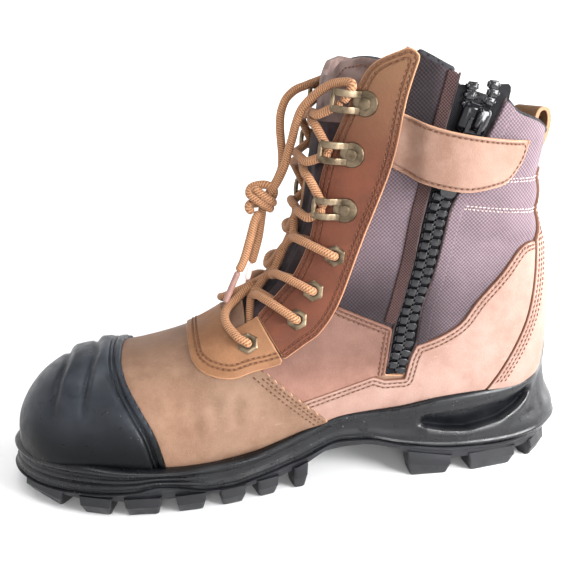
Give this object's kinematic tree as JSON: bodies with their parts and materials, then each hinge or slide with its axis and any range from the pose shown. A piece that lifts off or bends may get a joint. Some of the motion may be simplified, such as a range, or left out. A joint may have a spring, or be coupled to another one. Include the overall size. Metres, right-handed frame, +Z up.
{
  "type": "work boot",
  "caption": "Zip-sided leather safety work boot with a black rubber toe guard, lugged sole, tied laces on eyelets and hooks, and a strap over the zip.",
  "frame": {"origin": "on the floor under the middle of the boot's box", "axes": "+X towards the toe, +Y to the inner side with the zip, +Z up"},
  "size_m": [0.3142, 0.1104, 0.232],
  "materials": {
    "tan_leather": "tan nubuck",
    "brown_leather": "reddish brown nubuck",
    "dark_cloth": "dark woven cloth",
    "black_rubber": "satin black rubber",
    "black_foam": "black moulded foam",
    "black_plastic": "black moulded plastic",
    "old_brass": "dulled antique brass",
    "tan_lace": "round braided cord",
    "lace_tip": "lace tip film"
  },
  "bodies": {
    "boot": {"apron": "tan_leather", "backstay": "tan_leather", "counter_inner": "tan_leather", "counter_outer": "tan_leather", "eyelet_inner_1": "old_brass", "eyelet_inner_2": "old_brass", "eyelet_inner_3": "old_brass", "eyelet_inner_4": "old_brass", "eyelet_outer_1": "old_brass", "eyelet_outer_2": "old_brass", "eyelet_outer_3": "old_brass", "eyelet_outer_4": "old_brass", "eyestay_inner": "brown_leather", "eyestay_outer": "brown_leather", "hook_inner_1": "old_brass", "hook_inner_2": "old_brass", "hook_inner_3": "old_brass", "hook_outer_1": "old_brass", "hook_outer_2": "old_brass", "hook_outer_3": "old_brass", "insole": "black_foam", "lace_bar": "tan_lace", "lace_cross_1": "tan_lace", "lace_cross_2": "tan_lace", "lace_cross_3": "tan_lace", "lace_cross_4": "tan_lace", "lace_cross_5": "tan_lace", "lace_cross_6": "tan_lace", "lace_end_far": "tan_lace", "lace_end_near": "tan_lace", "lace_knot": "tan_lace", "lace_loop_far": "tan_lace", "lace_loop_near": "tan_lace", "lace_tip_far": "lace_tip", "lace_tip_near": "lace_tip", "midsole": "black_foam", "outsole": "black_rubber", "pull_loop": "tan_leather", "quarter_inner": "tan_leather", "quarter_outer": "tan_leather", "strap": "tan_leather", "toe_guard": "black_rubber", "tongue": "dark_cloth", "upper": "tan_leather", "zip_chain": "black_plastic", "zip_slider": "black_plastic", "zip_tape_front": "dark_cloth", "zip_tape_rear": "dark_cloth", "zip_teeth_front": "black_plastic", "zip_teeth_rear": "black_plastic"},
    "pull_tab": {"zip_pull": "black_plastic"}
  },
  "joints": [
    {"name": "zip_pull_hinge", "type": "hinge", "parent": "boot", "child": "pull_tab", "pos_m": [-0.08245, 0.0491, 0.19911], "axis": [0.9493, 0.0102, 0.3141], "range_deg": [0, 2.5]}
  ]
}
